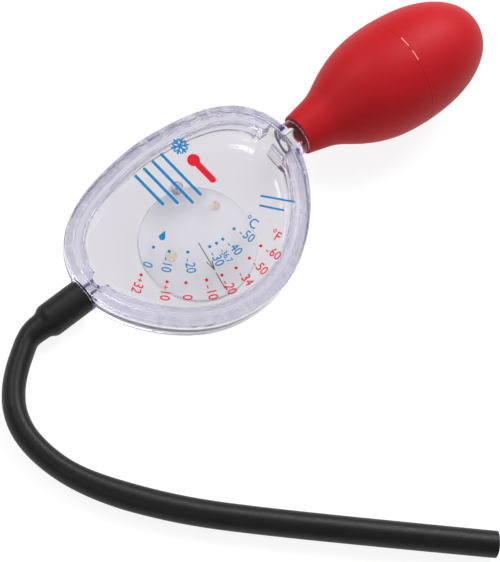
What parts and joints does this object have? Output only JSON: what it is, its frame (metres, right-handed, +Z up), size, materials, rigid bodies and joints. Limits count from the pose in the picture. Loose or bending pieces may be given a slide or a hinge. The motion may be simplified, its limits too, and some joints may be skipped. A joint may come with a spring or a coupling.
{
  "type": "antifreeze tester",
  "caption": "Squeeze-bulb coolant hydrometer: clear flat egg-shaped case with a swinging float disc, rubber bulb on one side and rubber suction hose on the other.",
  "frame": {"origin": "on the table, under the middle of the box round the case, the bulb and the hose cuff, as the tester lies at rest", "axes": "+X from the hose spigot towards the bulb, +Z up from the table; the dial faces up, leaning a little back towards the hose"},
  "size_m": [0.2807, 0.2285, 0.0515],
  "materials": {
    "clear_case": "clear moulded polystyrene, polished",
    "clear_cover": "clear moulded polystyrene, polished, printed dial",
    "float_plastic": "milky translucent plastic",
    "ballast": "beige plastic",
    "pin_steel": "plain drawn steel",
    "red_rubber": "satin moulded rubber",
    "black_rubber": "satin extruded rubber"
  },
  "bodies": {
    "case": {"back_shell": "clear_case", "front_cover": "clear_cover", "pivot_pin": "pin_steel", "suction_bulb": "red_rubber", "hose_cuff": "black_rubber", "hose": "black_rubber"},
    "float": {"float_disc": "float_plastic", "ballast_plug_large": "ballast", "ballast_plug_small": "ballast"}
  },
  "joints": [
    {"name": "float_swing", "type": "hinge", "parent": "case", "child": "float", "pos_m": [-0.03879, 0.01778, 0.0158], "axis": [-0.0977, -0.0839, 0.9917], "range_deg": [-47, 49]}
  ]
}
